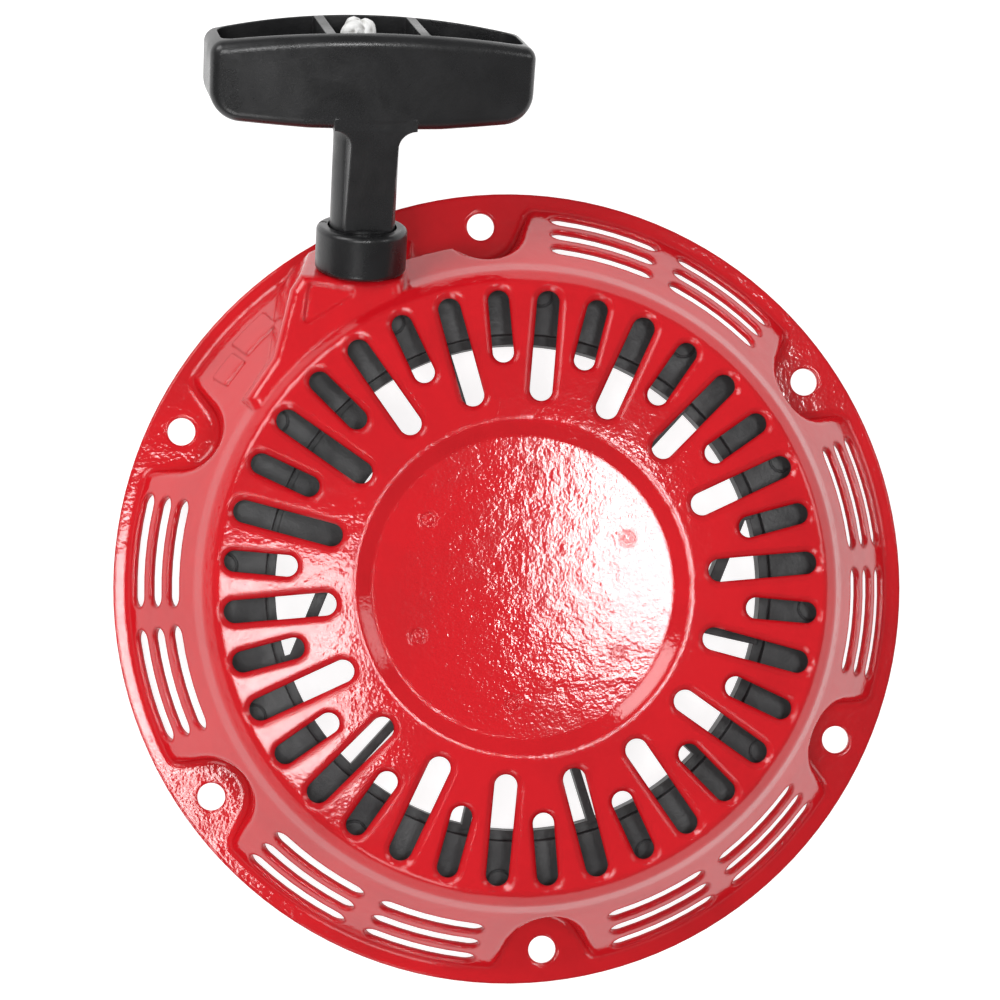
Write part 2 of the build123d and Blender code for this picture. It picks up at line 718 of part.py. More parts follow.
for name, side in (("pawl_spring_a", 0), ("pawl_spring_b", 180)):
    with BuildPart() as pawl_spring:
        with Locations(PAWL_PIN.rotate(Axis.Z, side) + Vector(0, 0, POST_END_Z + 1.25)):
            Torus(PAWL_SPRING_R, PAWL_WIRE_R)
    finish(pawl_spring, name)

with BuildPart() as ratchet_guide:
    with BuildSketch(Plane.XY.offset(GUIDE_PLATE_Z)):
        Circle(GUIDE_PLATE_R)
        for side in (0, 180):
            steps = [peg_in_guide(PAWL_THROW * step / 6).rotate(Axis.Z, side) for step in range(7)]
            for start, end in zip(steps, steps[1:]):
                with BuildSketch(mode=Mode.PRIVATE) as stretch:
                    with Locations(start, end):
                        Circle(PEG_R + 0.35)
                    make_hull(stretch.edges())
                add(stretch.sketch, mode=Mode.SUBTRACT)
    extrude(amount=GUIDE_PLATE_T)
    with BuildSketch(Plane.XY.offset(GUIDE_PLATE_Z)):
        Circle(GUIDE_HUB_R)
    extrude(amount=GUIDE_HUB_H)
    with BuildSketch(Plane.XY.offset(GUIDE_PLATE_Z)):
        Circle(SCREW_SHOULDER_R + RUNNING_GAP)
    extrude(amount=GUIDE_HUB_H, mode=Mode.SUBTRACT)
finish(ratchet_guide, "ratchet_guide")

with BuildPart() as friction_spring:
    with BuildSketch(Plane.XZ):
        with Locations((GUIDE_HUB_R + 0.3 + FRICTION_WIRE_R, GUIDE_PLATE_Z + GUIDE_HUB_H - 0.6)):
            Circle(FRICTION_WIRE_R)
    revolve(axis=Axis.Z, revolution_arc=330)
finish(friction_spring, "friction_spring")

with BuildPart() as screw_washer:
    with BuildSketch(Plane.XY.offset(WASHER_Z)):
        Circle(WASHER_R)
        Circle(SCREW_R + FIT_GAP, mode=Mode.SUBTRACT)
    extrude(amount=POST_END_Z - WASHER_Z)
finish(screw_washer, "screw_washer")

with BuildPart() as setting_screw:
    with BuildSketch(Plane.XY.offset(SCREW_HEAD_Z)):
        Circle(SCREW_HEAD_R)
    extrude(amount=SCREW_HEAD_T)
    fillet(setting_screw.edges().group_by(Axis.Z)[0], 0.8)
    with BuildSketch(Plane.XY.offset(SCREW_HEAD_Z + SCREW_HEAD_T)):
        Circle(SCREW_SHOULDER_R)
    extrude(amount=WASHER_Z - SCREW_HEAD_Z - SCREW_HEAD_T)
    with BuildSketch(Plane.XY.offset(WASHER_Z)):
        Circle(SCREW_R)
    extrude(amount=POST_END_Z - WASHER_Z + SCREW_DEPTH)
    with BuildSketch(Plane.XY.offset(SCREW_HEAD_Z)):
        Rectangle(1.6, 8.0)
        Rectangle(8.0, 1.6)
    extrude(amount=1.4, mode=Mode.SUBTRACT)
finish(setting_screw, "setting_screw")

# ---- Rope --------------------------------------------------------------------------------------------

with BuildPart() as rope_wound:
    with BuildSketch(Plane.XY.offset(ROPE_Z - ROPE_R)):
        Circle(COIL_TURN_R[-1] + ROPE_R)
        Circle(GROOVE_R + FIT_GAP, mode=Mode.SUBTRACT)
    extrude(amount=2 * ROPE_R)
    fillet(rope_wound.edges().filter_by(GeomType.CIRCLE).group_by(SortBy.RADIUS)[-1], ROPE_R - 0.1)
finish(rope_wound, "rope_wound")

KNOT_AT = at(KNOT_R, BLOCK_FIRST + BLOCK_SPAN / 2)
with BuildPart() as reel_knot:
    with BuildSketch(Plane.XY.offset(groove_low - FLANGE_T)):
        with Locations(KNOT_AT):
            Circle(KNOT_POCKET_R - 0.8)
    extrude(amount=SPOKE_H - WEB_T - 0.3)
    fillet(reel_knot.edges(), 1.6)
    with BuildSketch(Plane(origin=(KNOT_AT.X, KNOT_AT.Y, ROPE_Z - 1.0), z_dir=KNOT_AT.normalized())):
        Circle(ROPE_R)
    extrude(amount=GROOVE_R - KNOT_R)
finish(reel_knot, "reel_knot")

stem_end = GUIDE_SEAT + 0.3
mouth = GUIDE_MIDDLE + PULL * LEAD_BEND
mouth_r = math.hypot(mouth.X, mouth.Y)
tangent_angle = math.degrees(math.atan2(mouth.Y, mouth.X) + math.acos(COIL_TURN_R[-1] / mouth_r))
tangent_point = at(COIL_TURN_R[-1], tangent_angle) + Vector(0, 0, mouth.Z)
lead_start = tangent_point + (mouth - tangent_point).normalized() * LEAD_CLEAR
lead_end = GUIDE_MIDDLE + PULL * (stem_end - 0.2)
with BuildPart() as rope_lead:
    with BuildLine():
        lead_path = FilletPolyline(lead_start, mouth, lead_end, radius=LEAD_BEND_R)
    with BuildSketch(Plane(origin=lead_start, z_dir=lead_path % 0)):
        Circle(ROPE_R)
    sweep()
finish(rope_lead, "rope_lead")
lead_volume = math.pi * ROPE_R**2 * lead_path.length
print("rope_lead volume over section times length:", rope_lead.part.volume / lead_volume)

with BuildPart() as rope_tail:
    with BuildSketch(pull_plane(stem_end)):
        Circle(ROPE_R)
    extrude(amount=KNOT_FOOT - stem_end)
finish(rope_tail, "rope_tail")

# ---- Grip --------------------------------------------------------------------------------------------

GRIP_ACROSS = ACROSS.rotate(Axis((0, 0, 0), PULL), GRIP_ROLL)
FRONT = GRIP_ACROSS.cross(PULL)
grip_side = Plane(origin=GUIDE_MIDDLE, x_dir=GRIP_ACROSS, z_dir=FRONT)
grip_end = Plane(origin=GUIDE_MIDDLE, x_dir=FRONT, z_dir=-GRIP_ACROSS)
grip_half = GRIP_WIDTH / 2


def grip_plane(distance):
    """The plane square to the pull, turned with the grip, a distance from the guide's middle."""
    return Plane(origin=GUIDE_MIDDLE + PULL * distance, x_dir=GRIP_ACROSS, z_dir=PULL)


def grip_plan(inset, corner):
    """The bar's barrel-shaped plan, square to the pull, moved inwards by inset."""
    half = grip_half - inset
    end = GRIP_END_DEPTH / 2 - inset
    middle = GRIP_DEPTH / 2 - inset
    with BuildSketch() as plan:
        with BuildLine():
            ThreePointArc((-half, end), (0, middle), (half, end))
            Line((half, end), (half, -end))
            ThreePointArc((half, -end), (0, -middle), (-half, -end))
            Line((-half, -end), (-half, end))
        make_face()
        if corner:
            fillet(plan.vertices(), corner)
    return plan.sketch


# web that stands out from the stem, front and back, and flares into the bar
with BuildPart() as grip_web:
    with BuildSketch(grip_side):
        with BuildLine():
            reach = WEB_HALF_WIDTH + WEB_FLARE
            flare_foot = GRIP_FOOT - WEB_FLARE
            web_top = GRIP_FOOT + GRIP_ROUND
            Polyline((-WEB_HALF_WIDTH, flare_foot), (-WEB_HALF_WIDTH, WEB_START), (WEB_HALF_WIDTH, WEB_START))
            Line((WEB_HALF_WIDTH, WEB_START), (WEB_HALF_WIDTH, flare_foot))
            RadiusArc((WEB_HALF_WIDTH, flare_foot), (reach, GRIP_FOOT), WEB_FLARE)
            Polyline((reach, GRIP_FOOT), (reach, web_top), (-reach, web_top), (-reach, GRIP_FOOT))
            RadiusArc((-reach, GRIP_FOOT), (-WEB_HALF_WIDTH, flare_foot), WEB_FLARE)
        make_face()
    extrude(amount=WEB_DEPTH, both=True)
    with BuildSketch(grip_end):
        with BuildLine():
            Polyline(
                (WEB_START_DEPTH, WEB_START),
                (WEB_DEPTH, GRIP_FOOT),
                (WEB_DEPTH, web_top),
                (-WEB_DEPTH, web_top),
                (-WEB_DEPTH, GRIP_FOOT),
                (-WEB_START_DEPTH, WEB_START),
                close=True,
            )
        make_face()
    extrude(amount=grip_half, both=True, mode=Mode.INTERSECT)

with BuildPart() as grip:
    with BuildSketch(grip_side) as grip_front:
        with BuildLine():
            Polyline(
                (-grip_half, GRIP_TOP),
                (-grip_half, GRIP_FOOT + GRIP_RISE),
                (-2 * STEM_R, GRIP_FOOT),
                (2 * STEM_R, GRIP_FOOT),
                (grip_half, GRIP_FOOT + GRIP_RISE),
                (grip_half, GRIP_TOP),
            )
            ThreePointArc((grip_half, GRIP_TOP), (0, GRIP_TOP + GRIP_ARCH), (-grip_half, GRIP_TOP))
        make_face()
        fillet(grip_front.vertices().group_by(Axis.Y)[-1], GRIP_TOP_CORNER)
        fillet(grip_front.vertices().filter_by_position(Axis.Y, GRIP_FOOT + 1, GRIP_POCKET), GRIP_CORNER)
    extrude(amount=GRIP_DEPTH, both=True)
    with BuildSketch(grip_plane(0)):
        add(grip_plan(0, 0))
    extrude(amount=GRIP_WIDTH, mode=Mode.INTERSECT)
    sides = grip.faces().sort_by(Axis(GUIDE_MIDDLE, FRONT))
    fillet(sides[0].edges() + sides[-1].edges(), GRIP_ROUND)
    with BuildSketch(grip_plane(stem_end)):
        Circle(STEM_R)
    extrude(amount=GRIP_FOOT - stem_end + 1.0)
    root = grip.edges().filter_by(GeomType.CIRCLE).filter_by(
        lambda edge: abs(edge.radius - STEM_R) < 0.01 and (edge.center() - GUIDE_MIDDLE).dot(PULL) > WEB_START
    )
    fillet(root, STEM_FILLET)
    add(grip_web.part)
    # hollow top: two deep ends, two ribs, and a seat for the knot between them
    with BuildSketch(grip_plane(GRIP_POCKET)):
        add(grip_plan(GRIP_WALL, GRIP_POCKET_CORNER))
        Rectangle(2 * RIB_X + RIB_T, GRIP_DEPTH, mode=Mode.SUBTRACT)
    extrude(amount=GRIP_WIDTH, mode=Mode.SUBTRACT)
    with BuildSketch(grip_plane(KNOT_FOOT - PLATE_T)):
        Rectangle(2 * RIB_X - RIB_T, GRIP_DEPTH - 2 * GRIP_WALL - PLATE_GAP)
    extrude(amount=GRIP_WIDTH, mode=Mode.SUBTRACT)
    with BuildSketch(grip_plane(stem_end)):
        Circle(ROPE_R + ROPE_PASSAGE_GAP)
    extrude(amount=GRIP_WIDTH, mode=Mode.SUBTRACT)
finish(grip, "grip")

with BuildPart() as grip_reinforcement:
    with BuildSketch(grip_plane(KNOT_FOOT - PLATE_T)):
        plate_width = 2 * RIB_X - RIB_T - 2 * PLATE_GAP
        plate_depth = GRIP_DEPTH - 2 * GRIP_WALL - 3 * PLATE_GAP
        RectangleRounded(plate_width, plate_depth, PLATE_T)
        Circle(ROPE_R + FIT_GAP, mode=Mode.SUBTRACT)
    extrude(amount=PLATE_T)
finish(grip_reinforcement, "grip_reinforcement")

with BuildPart() as grip_knot:
    with BuildSketch(grip_plane(KNOT_FOOT)):
        with Locations((-KNOT_ASIDE, 0)):
            Circle(KNOT_HALF)
    extrude(amount=KNOT_H)
    fillet(grip_knot.edges(), KNOT_HALF - 1.0)
finish(grip_knot, "grip_knot")
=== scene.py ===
"""Recoil starter for a small engine: finishes, soft parts, light and camera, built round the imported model."""

import json
import logging
import math
from dataclasses import dataclass, replace
from enum import Enum

import bmesh
import bpy
from mathutils import Matrix, Vector

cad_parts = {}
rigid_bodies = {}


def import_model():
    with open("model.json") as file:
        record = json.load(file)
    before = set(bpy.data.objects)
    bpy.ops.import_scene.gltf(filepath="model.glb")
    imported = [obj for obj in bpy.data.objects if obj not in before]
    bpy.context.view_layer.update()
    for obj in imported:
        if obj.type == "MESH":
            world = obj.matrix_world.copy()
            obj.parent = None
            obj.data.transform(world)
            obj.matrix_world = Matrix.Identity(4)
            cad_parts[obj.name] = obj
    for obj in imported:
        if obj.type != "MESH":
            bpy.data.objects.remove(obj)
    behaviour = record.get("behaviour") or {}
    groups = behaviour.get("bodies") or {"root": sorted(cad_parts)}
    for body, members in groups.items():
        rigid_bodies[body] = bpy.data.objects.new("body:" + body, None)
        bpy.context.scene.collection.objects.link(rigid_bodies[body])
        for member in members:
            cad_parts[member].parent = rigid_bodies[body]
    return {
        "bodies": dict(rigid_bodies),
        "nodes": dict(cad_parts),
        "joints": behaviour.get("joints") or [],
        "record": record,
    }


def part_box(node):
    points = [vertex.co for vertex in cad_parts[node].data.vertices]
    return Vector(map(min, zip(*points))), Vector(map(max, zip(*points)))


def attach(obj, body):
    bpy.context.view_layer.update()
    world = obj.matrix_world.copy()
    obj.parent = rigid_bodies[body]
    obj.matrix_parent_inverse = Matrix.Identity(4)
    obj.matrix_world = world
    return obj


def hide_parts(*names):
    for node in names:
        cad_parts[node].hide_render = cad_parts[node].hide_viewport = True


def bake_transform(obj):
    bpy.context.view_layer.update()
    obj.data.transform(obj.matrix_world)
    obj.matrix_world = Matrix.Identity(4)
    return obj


LOG = logging.getLogger("recoil_starter")
MM = 0.001
BRAID_MAP = "braid"
GUIDE_MIDDLE = Vector((-42.0, 88.6, 31.0))
Socket = bpy.types.NodeSocket


class Body(Enum):
    """The bodies that the pieces ride on."""

    HOUSING = "housing"
    REEL = "reel_body"
    HANDLE = "handle"


class SteelKind(Enum):
    """How a steel piece was last worked."""

    TURNED = "turned"
    ROLLED = "rolled"
    PLATED = "plated"


class RopeLay(Enum):
    """How a length of rope lies."""

    BENT = "bent"
    STRAIGHT = "straight"


# ---- Shader helpers ----------------------------------------------------------------------------------


class NodeSheet:
    """A node tree with short calls to add and join nodes."""

    def __init__(self, tree: bpy.types.NodeTree) -> None:
        """Starts on a tree.

        Args:
            tree: the material's or the group's tree.
        """
        self.tree = tree
        self.column = 0

    def add(self, kind: str, **settings: object) -> bpy.types.Node:
        """Adds a node.

        Args:
            kind: the node's type name, without its ShaderNode prefix.
            settings: properties, or socket values by name with spaces as underscores.

        Returns:
            The new node.
        """
        node = self.tree.nodes.new(f"ShaderNode{kind}")
        node.location = (self.column * 180, 0)
        self.column += 1
        for key, value in settings.items():
            socket = node.inputs.get(key.replace("_", " "))
            if socket is not None:
                socket.default_value = value
            else:
                setattr(node, key, value)
        return node

    def join(self, source: Socket, target: Socket) -> None:
        """Links an output to an input."""
        self.tree.links.new(source, target)

    def maths(self, operation: str, first: object, second: object = 0.0) -> Socket:
        """Does one sum.

        Args:
            operation: the Math node's operation.
            first: a socket or a number.
            second: a socket or a number.

        Returns:
            The result's socket.
        """
        node = self.add("Math", operation=operation)
        for index, value in enumerate((first, second)):
            if isinstance(value, bpy.types.NodeSocket):
                self.join(value, node.inputs[index])
            else:
                node.inputs[index].default_value = value
        return node.outputs[0]

    def ramp(self, value: Socket, low: float, high: float, out: tuple[float, float]) -> Socket:
        """Maps a value from one range to another, clamped.

        Args:
            value: the value's socket.
            low: the value that gives the first output.
            high: the value that gives the second output.
            out: the two outputs.

        Returns:
            The mapped value's socket.
        """
        node = self.add("MapRange", From_Min=low, From_Max=high, To_Min=out[0], To_Max=out[1])
        self.join(value, node.inputs["Value"])
        return node.outputs["Result"]

    def noise(self, vector: Socket, scale: float, detail: float = 2.0, roughness: float = 0.5) -> Socket:
        """A noise value.

        Args:
            vector: the place's socket.
            scale: waves per metre.
            detail: octaves.
            roughness: how strong the finer octaves are.

        Returns:
            The noise value's socket.
        """
        node = self.add("TexNoise", Scale=scale, Detail=detail, Roughness=roughness)
        self.join(vector, node.inputs["Vector"])
        return node.outputs["Fac"]

    def blend_colour(self, mask: Socket, first: object, second: object) -> Socket:
        """Mixes two colours.

        Args:
            mask: 0 gives the first and 1 the second.
            first: a socket or a colour.
            second: a socket or a colour.

        Returns:
            The mixed colour's socket.
        """
        node = self.add("Mix", data_type="RGBA")
        self.join(mask, node.inputs[0])
        for index, value in ((6, first), (7, second)):
            if isinstance(value, bpy.types.NodeSocket):
                self.join(value, node.inputs[index])
            else:
                node.inputs[index].default_value = (*value, 1.0)
        return node.outputs[2]


class SharedEffects:
    """Node groups that several finishes use. Each is built once."""

    @staticmethod
    def _start(
        name: str,
        inputs: tuple[tuple[str, str, object], ...],
        outputs: tuple[tuple[str, str], ...],
    ) -> tuple[NodeSheet, bpy.types.Node, bpy.types.Node]:
        """Makes an empty group with its sockets.

        Args:
            name: the group's name.
            inputs: name, socket type and default of each input.
            outputs: name and socket type of each output.

        Returns:
            The sheet, the group's input node and its output node.
        """
        tree = bpy.data.node_groups.new(name, "ShaderNodeTree")
        for label, kind, default in inputs:
            socket = tree.interface.new_socket(name=label, in_out="INPUT", socket_type=kind)
            if default is not None:
                socket.default_value = default
        for label, kind in outputs:
            tree.interface.new_socket(name=label, in_out="OUTPUT", socket_type=kind)
        sheet = NodeSheet(tree)
        source = tree.nodes.new("NodeGroupInput")
        sink = tree.nodes.new("NodeGroupOutput")
        return sheet, source, sink

    @classmethod
    def edge_wear(cls) -> bpy.types.NodeTree:
        """A mask that is 1 on convex edges, broken up by noise."""
        found = bpy.data.node_groups.get("edge_wear")
        if found:
            return found
        sheet, source, sink = cls._start(
            "edge_wear",
            (
                ("Place", "NodeSocketVector", None),
                ("Width", "NodeSocketFloat", 0.0006),
                ("Breakup", "NodeSocketFloat", 900.0),
            ),
            (("Mask", "NodeSocketFloat"),),
        )
        geometry = sheet.add("NewGeometry")
        bevel = sheet.add("Bevel", samples=4)
        sheet.join(source.outputs["Width"], bevel.inputs["Radius"])
        dot = sheet.add("VectorMath", operation="DOT_PRODUCT")
        sheet.join(geometry.outputs["Normal"], dot.inputs[0])
        sheet.join(bevel.outputs["Normal"], dot.inputs[1])
        edge = sheet.ramp(dot.outputs["Value"], 0.995, 0.90, (0.0, 1.0))
        grain = sheet.add("TexNoise", Detail=3.0, Roughness=0.6)
        sheet.join(source.outputs["Place"], grain.inputs["Vector"])
        sheet.join(source.outputs["Breakup"], grain.inputs["Scale"])
        broken = sheet.ramp(grain.outputs["Fac"], 0.35, 0.65, (0.0, 1.0))
        sheet.join(sheet.maths("MULTIPLY", edge, broken), sink.inputs["Mask"])
        return sheet.tree

    @classmethod
    def moulded_grain(cls) -> bpy.types.NodeTree:
        """The height and shade of a fine spark-eroded mould texture, with faint flow streaks."""
        found = bpy.data.node_groups.get("moulded_grain")
        if found:
            return found
        sheet, source, sink = cls._start(
            "moulded_grain",
            (
                ("Place", "NodeSocketVector", None),
                ("Grain", "NodeSocketFloat", 1800.0),
                ("Streak", "NodeSocketFloat", 60.0),
            ),
            (("Height", "NodeSocketFloat"), ("Shade", "NodeSocketFloat")),
        )
        fine = sheet.add("TexNoise", Detail=2.0, Roughness=0.55)
        sheet.join(source.outputs["Place"], fine.inputs["Vector"])
        sheet.join(source.outputs["Grain"], fine.inputs["Scale"])
        broad = sheet.add("TexNoise", Detail=3.0, Roughness=0.6)
        sheet.join(source.outputs["Place"], broad.inputs["Vector"])
        sheet.join(source.outputs["Streak"], broad.inputs["Scale"])
        sheet.join(fine.outputs["Fac"], sink.inputs["Height"])
        sheet.join(broad.outputs["Fac"], sink.inputs["Shade"])
        return sheet.tree

    @classmethod
    def dust_and_oil(cls) -> bpy.types.NodeTree:
        """A soft patchy mask for fingerprints, dust and thin oil."""
        found = bpy.data.node_groups.get("dust_and_oil")
        if found:
            return found
        sheet, source, sink = cls._start(
            "dust_and_oil",
            (("Place", "NodeSocketVector", None), ("Scale", "NodeSocketFloat", 45.0)),
            (("Mask", "NodeSocketFloat"),),
        )
        broad = sheet.add("TexNoise", Detail=5.0, Roughness=0.62, Distortion=0.4)
        sheet.join(source.outputs["Place"], broad.inputs["Vector"])
        sheet.join(source.outputs["Scale"], broad.inputs["Scale"])
        sheet.join(sheet.ramp(broad.outputs["Fac"], 0.42, 0.72, (0.0, 1.0)), sink.inputs["Mask"])
        return sheet.tree


# ---- Finishes ----------------------------------------------------------------------------------------


@dataclass(frozen=True)
class Finish:
    """A finish that makes one material, once."""

    name: str

    def material(self) -> bpy.types.Material:
        """The finish's material, made on first use."""
        found = bpy.data.materials.get(self.name)
        if found:
            return found
        material = bpy.data.materials.new(self.name)
        material.use_nodes = True
        material.node_tree.nodes.clear()
        sheet = NodeSheet(material.node_tree)
        shader = sheet.add("BsdfPrincipled")
        output = sheet.add("OutputMaterial")
        sheet.join(shader.outputs["BSDF"], output.inputs["Surface"])
        self.paint(sheet, shader)
        return material

    def paint(self, sheet: NodeSheet, shader: bpy.types.Node) -> None:
        """Fills in the material's nodes.

        Args:
            sheet: the material's sheet.
            shader: its Principled BSDF.
        """
        raise NotImplementedError

    @staticmethod
    def group(sheet: NodeSheet, tree: bpy.types.NodeTree, place: Socket, **values: float) -> bpy.types.Node:
        """Places a shared effect.

        Args:
            sheet: the material's sheet.
            tree: the effect's group.
            place: the place's socket.
            values: the group's other inputs.

        Returns:
            The group node.
        """
        node = sheet.add("Group", node_tree=tree)
        sheet.join(place, node.inputs["Place"])
        for key, value in values.items():
            node.inputs[key].default_value = value
        return node

    @staticmethod
    def relief(
        sheet: NodeSheet,
        shader: bpy.types.Node,
        height: Socket,
        strength: float,
        depth: float,
        edge_round: float = 0.0,
    ) -> None:
        """Gives the shader a bump, over corners that look rounded.

        Args:
            sheet: the material's sheet.
            shader: its Principled BSDF.
            height: the height's socket.
            strength: 0 to 1.
            depth: the height of a full wave, in metres.
            edge_round: the radius that sharp corners show, in metres, or 0.
        """
        bump = sheet.add("Bump", Strength=strength, Distance=depth)
        if edge_round:
            corners = sheet.add("Bevel", Radius=edge_round, samples=6)
            sheet.join(corners.outputs["Normal"], bump.inputs["Normal"])
        sheet.join(height, bump.inputs["Height"])
        sheet.join(bump.outputs["Normal"], shader.inputs["Normal"])


@dataclass(frozen=True)
class EnamelFinish(Finish):
    """Thick glossy enamel on pressed steel, with orange peel and thin edges."""

    colour: tuple[float, float, float]
    deep: tuple[float, float, float]
    gloss: tuple[float, float] = (0.05, 0.10)
    peel: float = 1100.0
    peel_depth: float = 0.000030
    edge_round: float = 0.0014

    def paint(self, sheet: NodeSheet, shader: bpy.types.Node) -> None:
        """Enamel: colour deeper in random patches, thin on edges, and a waved gloss over rounded corners."""
        place = sheet.add("TexCoord").outputs["Object"]
        patches = self.group(sheet, SharedEffects.dust_and_oil(), place, Scale=28.0)
        wear = self.group(sheet, SharedEffects.edge_wear(), place, Width=0.0007, Breakup=700.0)
        tint = sheet.blend_colour(patches.outputs["Mask"], self.colour, self.deep)
        worn = sheet.blend_colour(sheet.maths("MULTIPLY", wear.outputs["Mask"], 0.35), tint, self.deep)
        sheet.join(worn, shader.inputs["Base Color"])
        fleck = sheet.noise(place, 5200.0, 1.0)
        rough = sheet.ramp(sheet.maths("ADD", patches.outputs["Mask"], fleck), 0.3, 1.4, self.gloss)
        sheet.join(rough, shader.inputs["Roughness"])
        peel = sheet.noise(place, self.peel, 1.0, 0.45)
        wave = sheet.noise(place, self.peel * 0.22, 1.0, 0.5)
        height = sheet.maths("ADD", peel, sheet.maths("MULTIPLY", wave, 2.2))
        self.relief(sheet, shader, height, 1.0, self.peel_depth, self.edge_round)


@dataclass(frozen=True)
class MouldedFinish(Finish):
    """Moulded plastic: fine grain, flow streaks, scuffed edges."""

    colour: tuple[float, float, float]
    scuff: tuple[float, float, float]
    gloss: tuple[float, float]
    grain: float = 1800.0
    relief_depth: float = 0.00008
    edge_round: float = 0.0005

    def paint(self, sheet: NodeSheet, shader: bpy.types.Node) -> None:
        """Plastic: shade from the mould's flow, paler scuffs on edges, grain in the surface."""
        place = sheet.add("TexCoord").outputs["Object"]
        texture = self.group(sheet, SharedEffects.moulded_grain(), place, Grain=self.grain, Streak=55.0)
        wear = self.group(sheet, SharedEffects.edge_wear(), place, Width=0.0009, Breakup=1400.0)
        grime = self.group(sheet, SharedEffects.dust_and_oil(), place, Scale=60.0)
        darker = tuple(0.6 * c for c in self.colour)
        flow = sheet.ramp(texture.outputs["Shade"], 0.35, 0.65, (0.0, 1.0))
        shade = sheet.blend_colour(flow, darker, self.colour)
        scuffed = sheet.blend_colour(sheet.maths("MULTIPLY", wear.outputs["Mask"], 0.5), shade, self.scuff)
        sheet.join(scuffed, shader.inputs["Base Color"])
        pitting = sheet.maths("MULTIPLY", texture.outputs["Height"], 0.5)
        rough = sheet.maths("ADD", pitting, grime.outputs["Mask"])
        sheet.join(sheet.ramp(rough, 0.1, 1.2, self.gloss), shader.inputs["Roughness"])
        self.relief(sheet, shader, texture.outputs["Height"], 0.5, self.relief_depth, self.edge_round)


@dataclass(frozen=True)
class SteelFinish(Finish):
    """Bare or plated steel, marked by how it was worked."""

    colour: tuple[float, float, float]
    kind: SteelKind
    gloss: tuple[float, float] = (0.22, 0.42)

    def paint(self, sheet: NodeSheet, shader: bpy.types.Node) -> None:
        """Steel: rings, rolling lines or crystal-grey plating, with brighter edges and thin oil."""
        place = sheet.add("TexCoord").outputs["Object"]
        stretched = sheet.add("Mapping")
        sheet.join(place, stretched.inputs["Vector"])
        if self.kind is SteelKind.TURNED:
            radius = sheet.add("VectorMath", operation="LENGTH")
            flat = sheet.add("VectorMath", operation="MULTIPLY")
            flat.inputs[1].default_value = (1.0, 1.0, 0.0)
            sheet.join(place, flat.inputs[0])
            sheet.join(flat.outputs["Vector"], radius.inputs[0])
            axis = sheet.add("SeparateXYZ")
            sheet.join(place, axis.inputs["Vector"])
            rings = sheet.add("CombineXYZ")
            sheet.join(radius.outputs["Value"], rings.inputs["X"])
            sheet.join(axis.outputs["Z"], rings.inputs["Z"])
            lines = sheet.noise(rings.outputs["Vector"], 3500.0, 2.0, 0.7)
        elif self.kind is SteelKind.ROLLED:
            stretched.inputs["Scale"].default_value = (1.0, 1.0, 14.0)
            lines = sheet.noise(stretched.outputs["Vector"], 420.0, 3.0, 0.7)
        else:
            lines = sheet.noise(stretched.outputs["Vector"], 1300.0, 3.0, 0.65)
        oil = self.group(sheet, SharedEffects.dust_and_oil(), place, Scale=70.0)
        wear = self.group(sheet, SharedEffects.edge_wear(), place, Width=0.0004, Breakup=2500.0)
        dull = tuple(0.72 * c for c in self.colour)
        bright = tuple(min(1.0, 1.2 * c) for c in self.colour)
        base = sheet.blend_colour(sheet.ramp(lines, 0.3, 0.7, (0.0, 1.0)), dull, self.colour)
        sheet.join(sheet.blend_colour(wear.outputs["Mask"], base, bright), shader.inputs["Base Color"])
        shader.inputs["Metallic"].default_value = 1.0
        rough = sheet.maths("ADD", lines, sheet.maths("MULTIPLY", oil.outputs["Mask"], 0.4))
        sheet.join(sheet.ramp(rough, 0.3, 1.1, self.gloss), shader.inputs["Roughness"])
        self.relief(sheet, shader, lines, 0.3, 0.00004)


